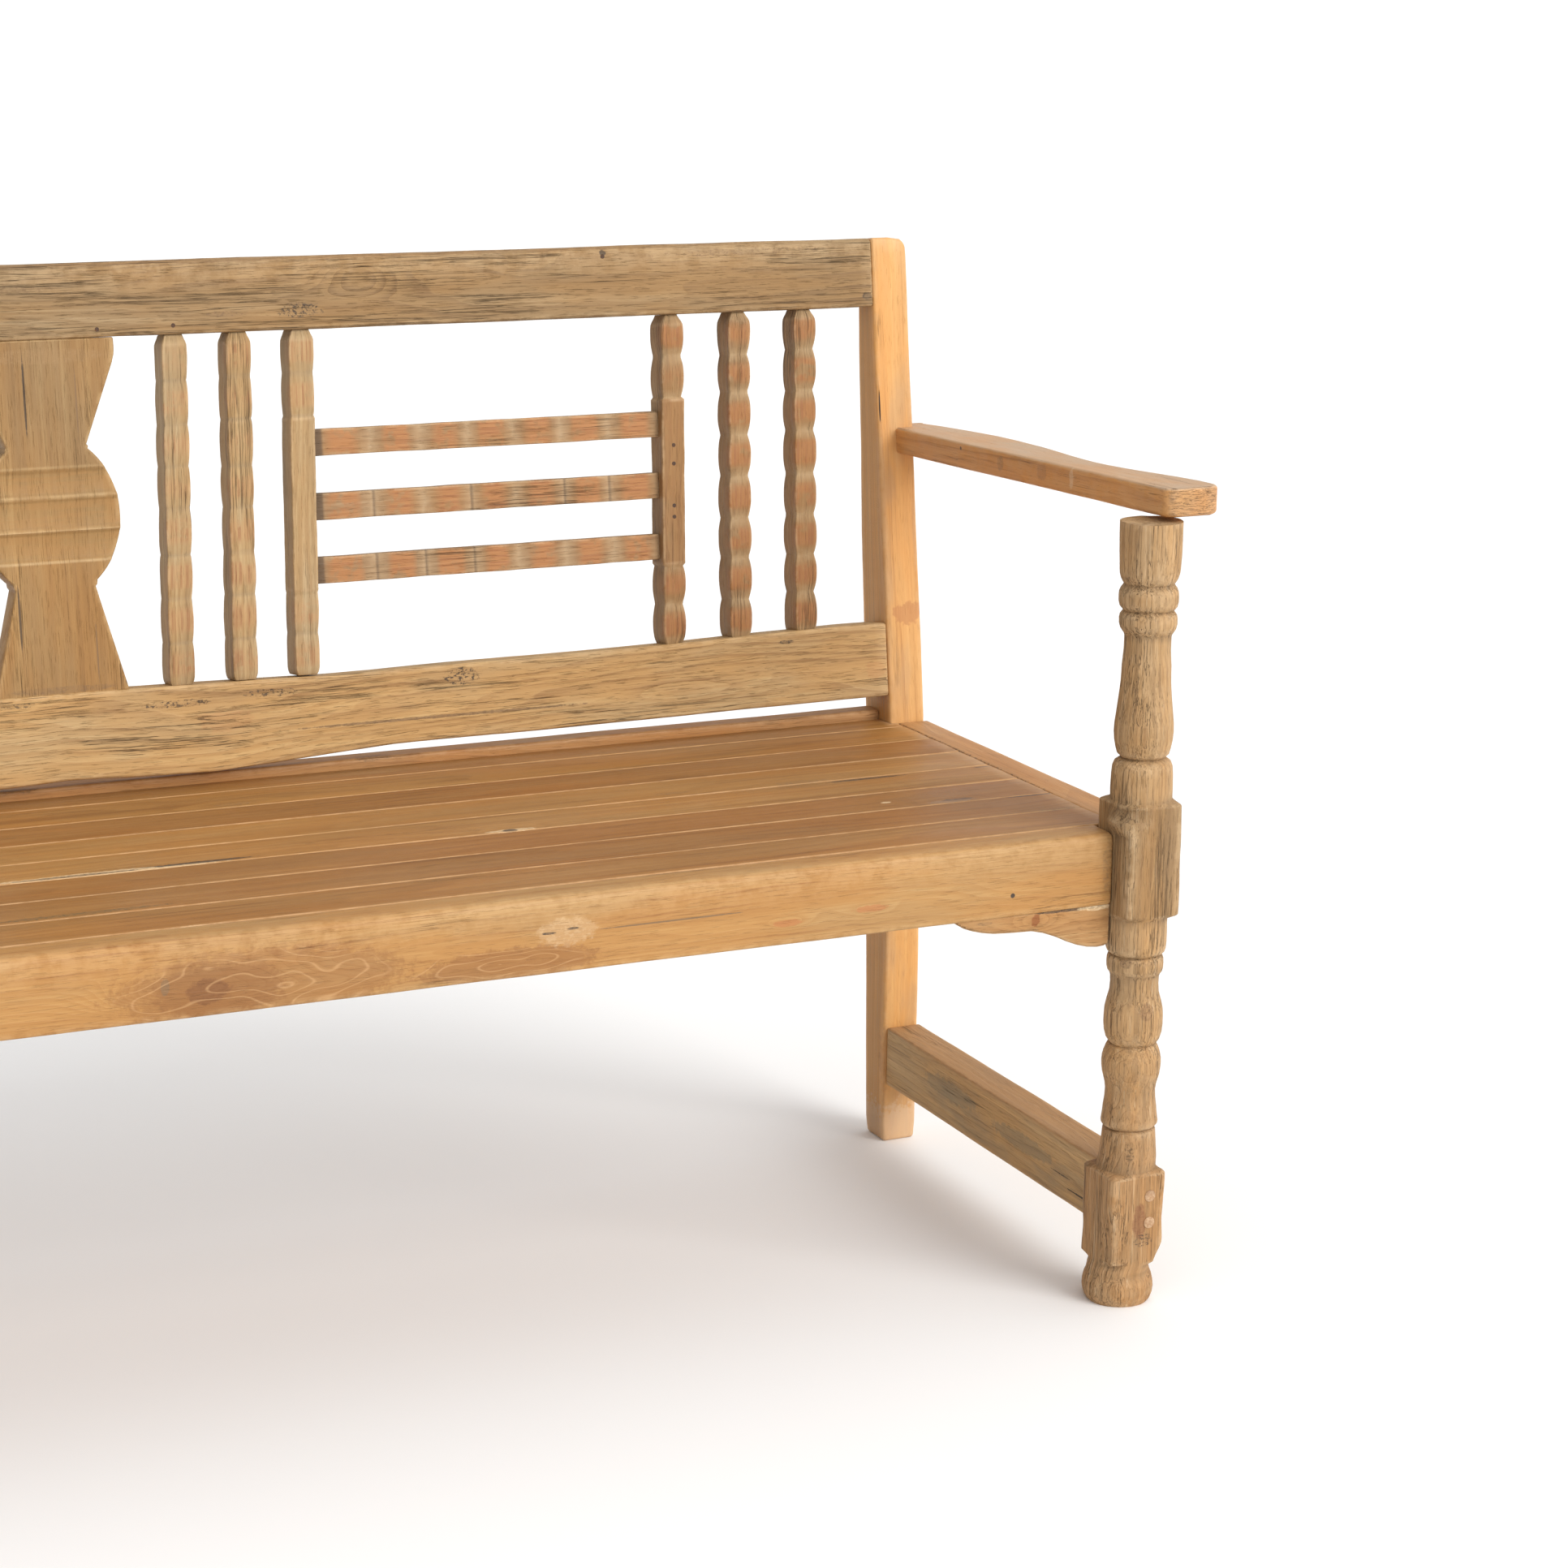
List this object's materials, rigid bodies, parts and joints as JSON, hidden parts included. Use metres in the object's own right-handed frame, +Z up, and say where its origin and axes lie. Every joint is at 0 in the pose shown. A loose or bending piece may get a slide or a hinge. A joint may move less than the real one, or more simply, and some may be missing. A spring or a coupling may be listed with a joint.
{
  "type": "garden bench",
  "caption": "Long teak garden bench with turned front legs, raked posts, beaded spindle and lattice back around a shaped splat, planked seat and scooped arms.",
  "frame": {"origin": "on the floor, in the middle of the bench's outline seen from above", "axes": "+X along the bench to the sitter's left-hand end as seen from the front right, +Y from the front to the back, +Z up"},
  "size_m": [1.848, 0.5936, 0.9348],
  "materials": {
    "teak_rail": "weathered honey teak, open cracked grain, matt",
    "teak_carved": "tan teak with sanded orange crowns, matt",
    "teak_seat": "warm brown teak, hand-planed, satin",
    "teak_orange": "orange-tan teak, smooth, satin",
    "teak_turned": "greyed tan teak with deep grain, matt",
    "teak_grey": "grey-green weathered teak, matt",
    "teak_hidden": "plain sawn teak",
    "zinc_screw": "zinc plated",
    "old_iron": "rusted dark iron"
  },
  "bodies": {
    "root": {"apron_bracket_left": "teak_seat", "apron_bracket_right": "teak_seat", "armrest_left": "teak_orange", "armrest_right": "teak_orange", "back_post_left": "teak_orange", "back_post_right": "teak_orange", "bearer_screws": "zinc_screw", "centre_splat": "teak_rail", "front_leg_left": "teak_turned", "front_leg_right": "teak_turned", "lattice_rail_left_lower": "teak_carved", "lattice_rail_left_middle": "teak_carved", "lattice_rail_left_upper": "teak_carved", "lattice_rail_right_lower": "teak_carved", "lattice_rail_right_middle": "teak_carved", "lattice_rail_right_upper": "teak_carved", "lower_back_rail": "teak_rail", "rail_nails": "old_iron", "seat_back_rail": "teak_seat", "seat_bearer_centre": "teak_hidden", "seat_bearer_left": "teak_hidden", "seat_bearer_right": "teak_hidden", "seat_front_rail": "teak_seat", "seat_plank_1": "teak_seat", "seat_plank_2": "teak_seat", "seat_plank_3": "teak_seat", "seat_plank_4": "teak_seat", "seat_plank_5": "teak_seat", "seat_plank_6": "teak_seat", "seat_plank_7": "teak_seat", "seat_plank_8": "teak_seat", "seat_side_rail_left": "teak_seat", "seat_side_rail_right": "teak_seat", "side_stretcher_left": "teak_grey", "side_stretcher_right": "teak_grey", "spindle_left_1": "teak_carved", "spindle_left_2": "teak_carved", "spindle_left_3": "teak_carved", "spindle_left_4": "teak_carved", "spindle_left_5": "teak_carved", "spindle_left_6": "teak_carved", "spindle_right_1": "teak_carved", "spindle_right_2": "teak_carved", "spindle_right_3": "teak_carved", "spindle_right_4": "teak_carved", "spindle_right_5": "teak_carved", "spindle_right_6": "teak_carved", "stretcher_plugs": "teak_orange", "stretcher_screws": "zinc_screw", "top_rail": "teak_rail"}
  },
  "joints": []
}
